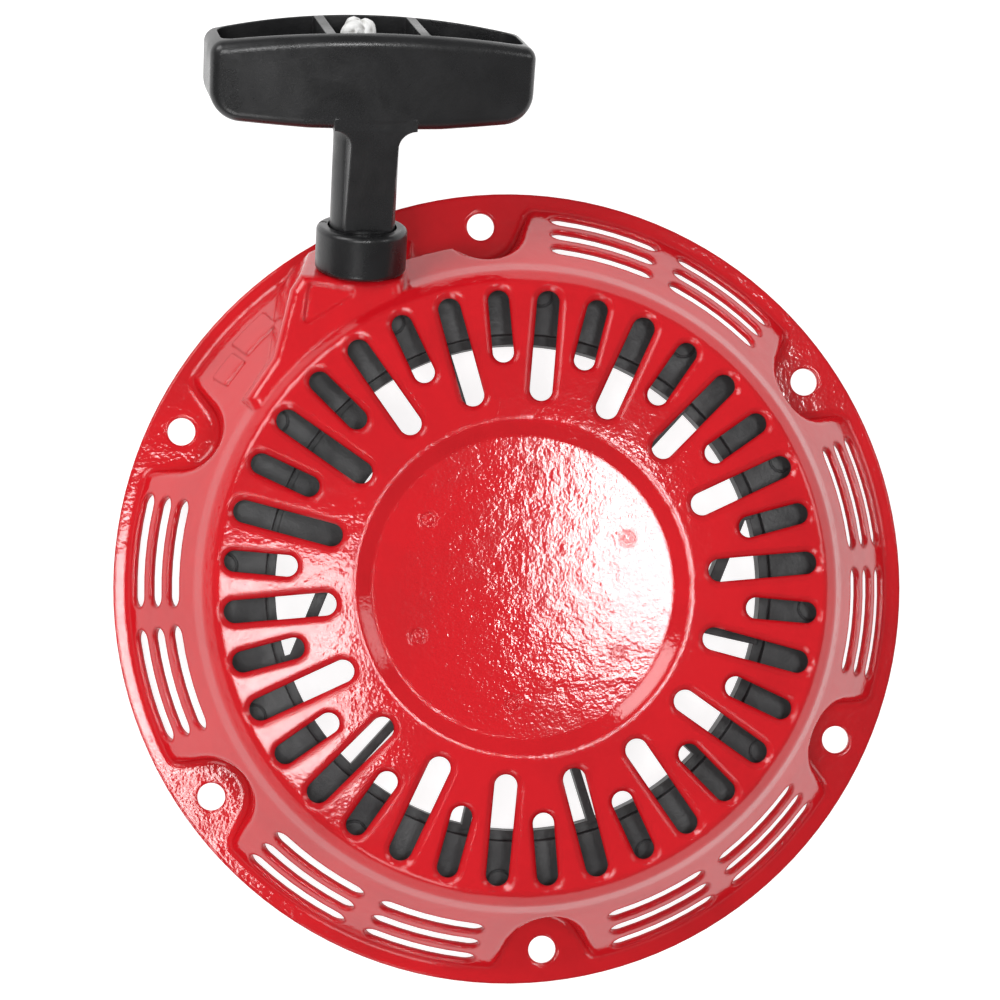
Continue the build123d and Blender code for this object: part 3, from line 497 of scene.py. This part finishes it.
@dataclass(frozen=True)
class BraidFinish(Finish):
    """Braided rope. The plait follows the piece's own map, or, on a straight rope, its axis."""

    colour: tuple[float, float, float]
    # Dark grey: painted shade in the gaps of the weave, and also the colour that grime darkens towards.
    shade_and_grime: tuple[float, float, float]
    lay: RopeLay = RopeLay.BENT
    axis_start: tuple[float, float, float] = (0.0, 0.0, 0.0)
    axis_turn: tuple[float, float, float] = (0.0, 0.0, 0.0)
    pitch: float = 0.0040
    strands: int = 5
    coarse: float = 0.0005

    def along_and_around(self, sheet: NodeSheet, place: Socket) -> tuple[Socket, Socket]:
        """The distance along the rope, in metres, and the turn round it, from 0 to 1.

        Args:
            sheet: the material's sheet.
            place: the object place's socket.

        Returns:
            The two sockets.
        """
        axes = sheet.add("SeparateXYZ")
        if self.lay is RopeLay.BENT:
            spot = sheet.add("UVMap", uv_map=BRAID_MAP)
            sheet.join(spot.outputs["UV"], axes.inputs["Vector"])
            return axes.outputs["X"], axes.outputs["Y"]
        straight = sheet.add("Mapping", vector_type="TEXTURE")
        straight.inputs["Location"].default_value = self.axis_start
        straight.inputs["Rotation"].default_value = self.axis_turn
        sheet.join(place, straight.inputs["Vector"])
        sheet.join(straight.outputs["Vector"], axes.inputs["Vector"])
        turn = sheet.maths("ARCTAN2", axes.outputs["Y"], axes.outputs["X"])
        return axes.outputs["Z"], sheet.maths("DIVIDE", turn, math.tau)

    def paint(self, sheet: NodeSheet, shader: bpy.types.Node) -> None:
        """Rope: plaited strands with fibres along them, grey painted shade in the gaps between strands, soft
        sheen.
        """
        place = sheet.add("TexCoord").outputs["Object"]
        length, turn = self.along_and_around(sheet, place)
        along = sheet.maths("DIVIDE", length, self.pitch)
        around = sheet.maths("MULTIPLY", turn, float(self.strands))
        ridges = []
        for operation in ("ADD", "SUBTRACT"):
            lay = sheet.maths("FRACT", sheet.maths(operation, along, around))
            across = sheet.maths("MULTIPLY", sheet.maths("ABSOLUTE", sheet.maths("SUBTRACT", lay, 0.5)), 2.0)
            ridges.append(sheet.maths("SUBTRACT", 1.0, sheet.maths("POWER", across, 2.2)))
        crossing = sheet.maths("MULTIPLY", ridges[0], ridges[1])
        upper = sheet.maths("MULTIPLY", sheet.maths("MAXIMUM", *ridges), 0.6)
        weave = sheet.maths("ADD", upper, sheet.maths("MULTIPLY", crossing, 0.4))
        fibre = sheet.noise(place, 5200.0, 3.0, 0.7)
        grime = self.group(sheet, SharedEffects.dust_and_oil(), place, Scale=120.0)
        # Painted shade: the gaps between the strands are blended to the dark grey, standing in for shadow in
        # the plait.
        tone = sheet.blend_colour(sheet.ramp(weave, 0.15, 0.75, (0.0, 1.0)), self.shade_and_grime, self.colour)
        # The grime patches are real dirt, blended towards the same dark grey.
        soiled = sheet.blend_colour(sheet.maths("MULTIPLY", grime.outputs["Mask"], 0.2), tone, self.shade_and_grime)
        sheet.join(soiled, shader.inputs["Base Color"])
        sheet.join(sheet.ramp(fibre, 0.3, 0.7, (0.45, 0.7)), shader.inputs["Roughness"])
        shader.inputs["Sheen Weight"].default_value = 0.25
        height = sheet.maths("ADD", weave, sheet.maths("MULTIPLY", fibre, 0.25))
        self.relief(sheet, shader, height, 0.9, self.coarse)


@dataclass(frozen=True)
class Finishes:
    """Every finish on the starter."""

    enamel: EnamelFinish = EnamelFinish("red_enamel", (0.60, 0.008, 0.014), (0.50, 0.006, 0.011))
    grip_plastic: MouldedFinish = MouldedFinish(
        "grip_black_plastic", colour=(0.016, 0.016, 0.017), scuff=(0.07, 0.07, 0.072), gloss=(0.24, 0.44)
    )
    guide_plastic: MouldedFinish = MouldedFinish(
        "guide_black_plastic", colour=(0.014, 0.014, 0.015), scuff=(0.06, 0.06, 0.062), gloss=(0.22, 0.42)
    )
    reel_plastic: MouldedFinish = MouldedFinish(
        "reel_black_nylon",
        colour=(0.018, 0.019, 0.021),
        scuff=(0.08, 0.08, 0.085),
        gloss=(0.40, 0.62),
        grain=1400.0,
        relief_depth=0.00014,
    )
    guide_nylon: MouldedFinish = MouldedFinish(
        "natural_nylon", colour=(0.62, 0.59, 0.50), scuff=(0.75, 0.73, 0.66), gloss=(0.35, 0.55)
    )
    turned_steel: SteelFinish = SteelFinish("turned_steel", (0.58, 0.57, 0.56), SteelKind.TURNED)
    plated_steel: SteelFinish = SteelFinish("zinc_plated_steel", (0.60, 0.60, 0.57), SteelKind.PLATED)
    yellow_steel: SteelFinish = SteelFinish("yellow_zinc_steel", (0.66, 0.58, 0.36), SteelKind.PLATED)
    pawl_steel: SteelFinish = SteelFinish("hardened_steel", (0.40, 0.40, 0.42), SteelKind.PLATED, (0.3, 0.5))
    spring_steel: SteelFinish = SteelFinish(
        "blued_spring_steel", (0.26, 0.28, 0.33), SteelKind.ROLLED, gloss=(0.18, 0.36)
    )
    rope: BraidFinish = BraidFinish("white_braid", (0.86, 0.86, 0.85), (0.46, 0.45, 0.43))
    knot_rope: BraidFinish = BraidFinish(
        "white_braid_knot", (0.88, 0.88, 0.87), (0.50, 0.49, 0.47), strands=4, coarse=0.0004
    )

    def drawn_rope(self, way: "RopeWay") -> BraidFinish:
        """The finish of the rope that draws out along the pull."""
        return replace(
            self.rope,
            name="white_braid_drawn",
            lay=RopeLay.STRAIGHT,
            axis_start=tuple(way.middle),
            axis_turn=way.turn(),
        )


# ---- Building and dressing ---------------------------------------------------------------------------


class Frame:
    """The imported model: its nodes, and how they are dressed."""

    def __init__(self, loaded: dict) -> None:
        """Args:
            loaded: the frame's dictionary.
        """
        self.nodes: dict[str, bpy.types.Object] = loaded["nodes"]
        self.record: dict = loaded["record"]
        self.finishes = Finishes()

    def slot_of(self, node: str) -> str:
        """The record's material slot of a CAD node."""
        for row in self.record["subparts"]:
            if row["node"] == node:
                return row["material_slot"]
        raise KeyError(node)

    def dress(self, node: str, finish: Finish) -> None:
        """Gives a CAD node a finish.

        Args:
            node: the node's name.
            finish: its finish.
        """
        materials = self.nodes[node].data.materials
        materials.clear()
        materials.append(finish.material())
        LOG.info("%s: %s", node, finish.name)

    def stand_in(self, piece: bpy.types.Object, body: Body, node: str, finish: Finish) -> bpy.types.Object:
        """Puts a new piece in a CAD node's place.

        Args:
            piece: the new piece.
            body: the body that it rides on.
            node: the CAD node that it stands for.
            finish: its finish.

        Returns:
            The piece.
        """
        piece.data.materials.clear()
        piece.data.materials.append(finish.material())
        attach(piece, body.value)
        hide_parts(node)
        LOG.info("%s stands for %s: %s, %d faces", piece.name, node, finish.name, len(piece.data.polygons))
        return piece


def place_mesh(shape: bmesh.types.BMesh, name: str) -> bpy.types.Object:
    """Turns a bmesh into an object in the scene.

    Args:
        shape: the bmesh, which is freed.
        name: the object's name.

    Returns:
        The new object.
    """
    mesh = bpy.data.meshes.new(name)
    shape.to_mesh(mesh)
    shape.free()
    piece = bpy.data.objects.new(name, mesh)
    bpy.context.scene.collection.objects.link(piece)
    return piece


# ---- Case --------------------------------------------------------------------------------------------


@dataclass
class StarterCase:
    """The pressed case with its plate and post."""

    frame: Frame

    def dress(self) -> None:
        """Finishes the case's pieces."""
        finishes = self.frame.finishes
        self.frame.dress("starter_case", finishes.enamel)
        self.frame.dress("hub_plate", finishes.enamel)
        self.frame.dress("center_post", finishes.turned_steel)
        self.frame.dress("rope_guide", finishes.guide_plastic)


# ---- Reel and drive ----------------------------------------------------------------------------------


@dataclass
class ReelAndDrive:
    """The reel with its spring, and the ratchet that drives the engine."""

    frame: Frame

    def dress(self) -> None:
        """Finishes the reel's and the ratchet's pieces."""
        finishes = self.frame.finishes
        for node, finish in (
            ("reel", finishes.reel_plastic),
            ("spring_cover", finishes.plated_steel),
            ("recoil_spring", finishes.spring_steel),
            ("pawl_a", finishes.pawl_steel),
            ("pawl_b", finishes.pawl_steel),
            ("pawl_spring_a", finishes.spring_steel),
            ("pawl_spring_b", finishes.spring_steel),
            ("ratchet_guide", finishes.guide_nylon),
            ("friction_spring", finishes.spring_steel),
            ("setting_screw", finishes.yellow_steel),
            ("screw_washer", finishes.plated_steel),
        ):
            self.frame.dress(node, finish)


# ---- Rope --------------------------------------------------------------------------------------------


@dataclass(frozen=True)
class RopeWay:
    """The rope's way out of the case: the guide's middle, and the way that the grip pulls."""

    middle: Vector
    pull: Vector
    radius: float = 2.0 * MM
    bend: float = -13.5 * MM
    guide_back: float = -6.0 * MM
    rope_join: float = -1.0 * MM
    knot_foot: float = 51.0 * MM

    def at(self, distance: float) -> Vector:
        """The point at a distance along the pull from the guide's middle."""
        return self.middle + self.pull * distance

    def turn(self) -> tuple[float, float, float]:
        """The turn that stands a Z axis along the pull."""
        return tuple(self.pull.to_track_quat("Z", "Y").to_euler())


def braided_rope(
    name: str, route: list[Vector], radius: float, closed: bool = False, sides: int = 2
) -> bpy.types.Object:
    """Lays a round rope along a smooth line.

    Args:
        name: the piece's name.
        route: the line's control points.
        radius: the rope's radius.
        closed: whether the line joins up.
        sides: how finely the rope is rounded.

    Returns:
        The rope, with its braid map in metres along and turns round.
    """
    line = bpy.data.curves.new(name, "CURVE")
    line.dimensions = "3D"
    spline = line.splines.new("NURBS")
    spline.points.add(len(route) - 1)
    for point, spot in zip(spline.points, route):
        point.co = (*spot, 1.0)
    spline.order_u = 3
    spline.use_endpoint_u = not closed
    spline.use_cyclic_u = closed
    spline.resolution_u = 6
    length = spline.calc_length()
    line.bevel_depth = radius
    line.bevel_resolution = sides
    line.use_fill_caps = not closed
    laid = bpy.data.objects.new(name, line)
    bpy.context.scene.collection.objects.link(laid)
    bpy.context.view_layer.update()
    mesh = bpy.data.meshes.new_from_object(laid.evaluated_get(bpy.context.evaluated_depsgraph_get()))
    bpy.data.objects.remove(laid)
    mesh.name = name
    braid = mesh.uv_layers[0]
    braid.name = BRAID_MAP
    for corner in braid.data:
        corner.uv = (corner.uv[0] * length, corner.uv[1])
    for polygon in mesh.polygons:
        polygon.use_smooth = True
    rope = bpy.data.objects.new(name, mesh)
    bpy.context.scene.collection.objects.link(rope)
    return rope


def overhand_knot(
    name: str, centre: Vector, axis: Vector, spread: float, radius: float, flatness: float
) -> bpy.types.Object:
    """Ties a tight overhand knot.

    Args:
        name: the piece's name.
        centre: the knot's middle.
        axis: the way that the knot's flat side faces.
        spread: the size of the knot's loops.
        radius: the rope's radius.
        flatness: the knot's height over its loops' size.

    Returns:
        The knot.
    """
    turn = axis.to_track_quat("Z", "Y").to_matrix()
    route = []
    for step in range(36):
        angle = math.tau * step / 36
        loop = Vector(
            (
                math.sin(angle) + 2.0 * math.sin(2.0 * angle),
                math.cos(angle) - 2.0 * math.cos(2.0 * angle),
                -flatness * math.sin(3.0 * angle),
            )
        )
        route.append(centre + turn @ (loop * spread))
    return braided_rope(name, route, radius, closed=True, sides=3)


@dataclass
class StarterRope:
    """The rope: its turns on the reel, its way out, its length in the grip, and its two knots."""

    frame: Frame
    way: RopeWay
    turn_radii: tuple[float, float, float] = (71.1 * MM, 75.1 * MM, 79.1 * MM)
    coil_height: float = 25.5 * MM
    leaves_at: float = 142.6
    step_angle: float = 12.0
    crossover: float = 24.0
    knot_at: tuple[float, float] = (57.5 * MM, 149.0)
    knot_height: float = 23.4 * MM
    lead_clear: float = 26.4 * MM
    turn_in: float = 1.6 * MM
    drawn_steps: int = 24
    draws_between: tuple[float, float] = (-0.5 * MM, 20.0 * MM)
    wound_fit: float = 0.97
    slack_fit: float = 0.98

    def coil_route(self) -> list[Vector]:
        """The line of the turns, from the reel's hole to where the rope leaves.

        Returns:
            Its control points.
        """
        route = []
        turns = len(self.turn_radii)
        steps = round(360.0 * turns / self.step_angle)
        pitch = self.turn_radii[1] - self.turn_radii[0]
        for step in range(steps + 1):
            wound = 360.0 * turns - step * self.step_angle
            number, rest = divmod(wound, 360.0)
            climb = max(0.0, 1.0 - (360.0 - rest) / self.crossover) if number < turns - 1 else 0.0
            radius = self.turn_radii[0] + pitch * min(number + climb * climb * (3.0 - 2.0 * climb), turns - 1)
            angle = math.radians(self.leaves_at + 360.0 * turns - wound)
            route.append(Vector((radius * math.cos(angle), radius * math.sin(angle), self.coil_height)))
        return route

    def wound_turns(self) -> None:
        """Lays the turns that lie on the reel."""
        coil = braided_rope("rope_turns", self.coil_route(), self.way.radius * self.wound_fit)
        self.frame.stand_in(coil, Body.REEL, "rope_wound", self.frame.finishes.rope)

    def lead_out(self) -> None:
        """Lays the rope from the reel's edge, round the guide's inner mouth and into the guide."""
        mouth = self.way.at(self.way.bend)
        tangent = self.turn_radii[-1]
        angle = math.atan2(mouth.y, mouth.x) + math.acos(tangent / math.hypot(mouth.x, mouth.y))
        touch = Vector((tangent * math.cos(angle), tangent * math.sin(angle), mouth.z))
        ahead = (mouth - touch).normalized()
        start = touch + ahead * self.lead_clear
        route = [
            start,
            start.lerp(mouth, 0.5),
            mouth - ahead * self.turn_in,
            self.way.at(self.way.bend + self.turn_in),
            self.way.at(self.way.guide_back),
            self.way.at(self.way.rope_join),
        ]
        lead = braided_rope("rope_lead_out", route, self.way.radius * self.slack_fit)
        self.frame.stand_in(lead, Body.HOUSING, "rope_lead", self.frame.finishes.rope)

    def drawn_length(self) -> None:
        """Lays the rope from the guide to the grip's knot."""
        start, foot = self.way.rope_join, self.way.knot_foot
        count = self.drawn_steps
        route = [self.way.at(start + (foot - start) * step / count) for step in range(count + 1)]
        drawn = braided_rope("rope_drawn", route, self.way.radius * self.slack_fit)
        finish = self.frame.finishes.drawn_rope(self.way)
        drawn.data.materials.clear()
        drawn.data.materials.append(finish.material())
        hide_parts("rope_tail")
        self.frame.slot_of("rope_tail")
        first, last = (self.way.at(distance) for distance in self.draws_between)
        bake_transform(drawn)
        riders = (Body.HOUSING.value, Body.HANDLE.value)
        LOG.info("%s: %s, drawn between %s and %s", drawn.name, finish.name, *riders)

    def knots(self) -> None:
        """Ties the knot in the grip's top and the knot in the reel."""
        low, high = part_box("grip_knot")
        centre = (low + high) / 2.0
        top = overhand_knot("grip_rope_knot", centre, self.way.pull, 0.92 * MM, 2.2 * MM, 2.6)
        self.frame.stand_in(top, Body.HANDLE, "grip_knot", self.frame.finishes.knot_rope)
        radius, angle = self.knot_at[0], math.radians(self.knot_at[1])
        reel_spot = Vector((radius * math.cos(angle), radius * math.sin(angle), self.knot_height))
        inner = overhand_knot("reel_rope_knot", reel_spot, Vector((0, 0, 1)), 0.95 * MM, 1.7 * MM, 0.9)
        self.frame.stand_in(inner, Body.REEL, "reel_knot", self.frame.finishes.knot_rope)

    def build(self) -> None:
        """Lays every length of the rope."""
        self.wound_turns()
        self.lead_out()
        self.drawn_length()
        self.knots()


# ---- Grip --------------------------------------------------------------------------------------------


@dataclass
class PullGrip:
    """The T-grip with its plate."""

    frame: Frame

    def dress(self) -> None:
        """Finishes the grip's pieces."""
        finishes = self.frame.finishes
        self.frame.dress("grip", finishes.grip_plastic)
        self.frame.dress("grip_reinforcement", finishes.plated_steel)


# ---- Studio ------------------------------------------------------------------------------------------


@dataclass
class Studio:
    """The floor, the lights and the camera."""

    distance: float = 0.700
    lens: float = 92.05
    tilt: tuple[float, float, float] = (-1.91, 4.51, -0.28)
    aside: tuple[float, float] = (0.0029, -0.0238)
    floor_half: float = 6.0
    floor_drop: float = 0.2 * MM
    floor_glow: float = 0.88
    patch_scale: float = 30.0
    patch_glow: tuple[float, float] = (0.35, 2.1)

    def camera(self) -> bpy.types.Object:
        """Makes the camera.

        Returns:
            The camera's object.
        """
        data = bpy.data.cameras.new("camera")
        data.lens = self.lens
        data.sensor_width = 36.0
        data.clip_start, data.clip_end = 0.01, 100.0
        seen = bpy.data.objects.new("camera", data)
        turn_x, turn_y, turn_z = (math.radians(angle) for angle in self.tilt)
        turn = (
            Matrix.Rotation(turn_z, 4, "Z")
            @ Matrix.Rotation(turn_y, 4, "Y")
            @ Matrix.Rotation(turn_x, 4, "X")
        )
        seen.matrix_world = (Matrix.Translation((*self.aside, -self.distance)) @ turn).inverted()
        bpy.context.scene.collection.objects.link(seen)
        bpy.context.scene.camera = seen
        return seen

    def floor(self) -> None:
        """Makes the pale floor that the starter lies on."""
        shape = bmesh.new()
        bmesh.ops.create_grid(shape, x_segments=1, y_segments=1, size=self.floor_half)
        bmesh.ops.translate(shape, verts=shape.verts, vec=(0, 0, -self.floor_drop))
        piece = place_mesh(shape, "floor")
        material = bpy.data.materials.new("pale_floor")
        material.use_nodes = True
        shader = material.node_tree.nodes["Principled BSDF"]
        shader.inputs["Base Color"].default_value = (0.35, 0.35, 0.35, 1.0)
        shader.inputs["Roughness"].default_value = 0.9
        shader.inputs["Emission Color"].default_value = (1.0, 1.0, 1.0, 1.0)
        shader.inputs["Emission Strength"].default_value = self.floor_glow
        piece.data.materials.append(material)

    def lamp(
        self,
        name: str,
        place: tuple[float, float, float],
        aim: tuple[float, float, float],
        size: tuple[float, float],
        power: float,
    ) -> bpy.types.Light:
        """Makes one soft lamp.

        Args:
            name: the lamp's name.
            place: where it stands, in metres.
            aim: the point that it faces.
            size: its width and height.
            power: its power, in watts.

        Returns:
            The lamp's light.
        """
        data = bpy.data.lights.new(name, "AREA")
        data.shape = "RECTANGLE"
        data.size, data.size_y = size
        data.energy = power
        lamp = bpy.data.objects.new(name, data)
        lamp.location = place
        lamp.rotation_euler = (Vector(aim) - Vector(place)).to_track_quat("-Z", "Y").to_euler()
        bpy.context.scene.collection.objects.link(lamp)
        return data

    def window(
        self, name: str, place: tuple[float, float, float], size: tuple[float, float], power: float
    ) -> None:
        """Makes a lamp that faces straight down, with bright and dim patches like a curtained window.

        Args:
            name: the lamp's name.
            place: where it stands, in metres.
            size: its width and height.
            power: its power, in watts.
        """
        data = self.lamp(name, place, (place[0], place[1], 0.0), size, power)
        data.use_nodes = True
        sheet = NodeSheet(data.node_tree)
        spread = sheet.add("VectorMath", operation="MULTIPLY")
        spread.inputs[1].default_value = (size[0], size[1], 1.0)
        sheet.join(sheet.add("NewGeometry").outputs["Parametric"], spread.inputs[0])
        patches = sheet.noise(spread.outputs["Vector"], self.patch_scale, 1.0, 0.6)
        glow = sheet.ramp(patches, 0.42, 0.58, self.patch_glow)
        sheet.join(glow, data.node_tree.nodes["Emission"].inputs["Strength"])

    def light(self) -> None:
        """Makes the soft white surroundings and the lamps."""
        world = bpy.data.worlds.new("soft_surroundings")
        world.use_nodes = True
        world.node_tree.nodes["Background"].inputs["Color"].default_value = (1.0, 1.0, 1.0, 1.0)
        world.node_tree.nodes["Background"].inputs["Strength"].default_value = 0.24
        bpy.context.scene.world = world
        self.window("right_window", (0.180, 0.055, 1.10), (0.13, 0.23), 2.2)
        self.window("left_window", (-0.230, -0.11, 1.10), (0.22, 0.32), 2.9)
        self.lamp("key_light", (-0.8, 0.7, 0.9), (0.0, 0.0, 0.03), (0.6, 0.6), 9.0)
        self.lamp("fill_light", (-0.3, -1.0, 0.7), (0.0, 0.0, 0.03), (0.4, 0.4), 2.5)
        self.lamp("rim_light", (1.1, 0.3, 0.7), (0.0, 0.0, 0.03), (0.35, 0.5), 2.0)

    def build(self) -> None:
        """Sets the whole studio up."""
        scene = bpy.context.scene
        scene.view_settings.view_transform = "Standard"
        self.camera()
        self.floor()
        self.light()


def main(loaded: dict) -> None:
    """Builds every sub-assembly in order.
    """
    logging.basicConfig(level=logging.INFO, format="%(message)s")
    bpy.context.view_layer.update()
    frame = Frame(loaded)
    StarterCase(frame).dress()
    ReelAndDrive(frame).dress()
    PullGrip(frame).dress()
    joints = {joint["name"]: joint for joint in loaded["joints"]}
    pull = Vector(joints["handle_pull"]["axis"]).normalized()
    StarterRope(frame, RopeWay(GUIDE_MIDDLE * MM, pull)).build()
    Studio().build()


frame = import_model()

if __name__ == "__main__":
    main(frame)
